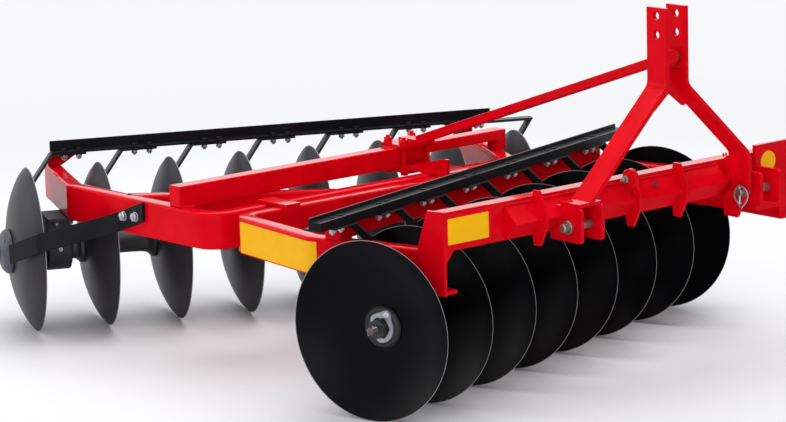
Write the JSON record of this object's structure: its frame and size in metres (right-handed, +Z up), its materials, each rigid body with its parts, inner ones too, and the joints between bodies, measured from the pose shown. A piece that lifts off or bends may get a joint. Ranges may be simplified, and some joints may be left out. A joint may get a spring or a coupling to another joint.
{
  "type": "offset disc harrow",
  "caption": "Three-point mounted offset disc harrow: two angled gangs of plain concave discs under bent tube frames, with scraper rails, a lower clevis pair and an upright mast",
  "frame": {"origin": "on the ground under the middle of the machine's bounding box", "axes": "+Z up, -Y forward towards the tractor, +X to the machine's left"},
  "size_m": [1.9858, 2.2962, 1.173],
  "materials": {
    "red_paint": "gloss red enamel",
    "black_paint": "satin black enamel",
    "disc_steel": "satin black lacquer over rolled steel",
    "bare_steel": "zinc plated steel"
  },
  "bodies": {
    "root": {"bar_clamp": "red_paint", "clevis_left_inner": "red_paint", "clevis_left_outer": "red_paint", "clevis_right_inner": "red_paint", "clevis_right_outer": "red_paint", "frame_link": "red_paint", "frame_side_post": "red_paint", "front_frame_left_arm": "red_paint", "front_frame_rear_beam": "red_paint", "front_frame_right_arm": "red_paint", "front_left_bearing": "black_paint", "front_right_bearing": "black_paint", "front_scraper_beam": "red_paint", "front_scraper_rail": "black_paint", "hitch_beam": "red_paint", "hitch_pin_left": "bare_steel", "hitch_pin_right": "bare_steel", "hitch_right_bracket": "red_paint", "mast_left_leg": "red_paint", "mast_right_leg": "red_paint", "mast_spacer": "bare_steel", "rear_frame_front_beam": "red_paint", "rear_frame_left_arm": "red_paint", "rear_frame_right_arm": "red_paint", "rear_guard_arm": "black_paint", "rear_left_bearing": "black_paint", "rear_right_bearing": "black_paint", "rear_scraper_left_bracket": "red_paint", "rear_scraper_rail": "black_paint", "rear_scraper_right_bracket": "red_paint", "stay_bar": "red_paint", "top_bar": "red_paint"},
    "front_gang": {"front_disc_1": "disc_steel", "front_disc_2": "disc_steel", "front_disc_3": "disc_steel", "front_disc_4": "disc_steel", "front_disc_5": "disc_steel", "front_disc_6": "disc_steel", "front_disc_7": "disc_steel", "front_disc_8": "disc_steel", "front_gang_axle": "black_paint"},
    "rear_gang": {"rear_disc_1": "disc_steel", "rear_disc_2": "disc_steel", "rear_disc_3": "disc_steel", "rear_disc_4": "disc_steel", "rear_disc_5": "disc_steel", "rear_disc_6": "disc_steel", "rear_disc_7": "disc_steel", "rear_disc_8": "disc_steel", "rear_gang_axle": "black_paint"}
  },
  "joints": [
    {"name": "front_gang_spin", "type": "hinge", "parent": "root", "child": "front_gang", "pos_m": [-0.80497, -0.87315, 0.28], "axis": [0.9632, 0.2689, 0], "continuous": true},
    {"name": "rear_gang_spin", "type": "hinge", "parent": "root", "child": "rear_gang", "pos_m": [-0.82697, 0.8907, 0.28], "axis": [0.9121, -0.4099, 0], "continuous": true}
  ]
}
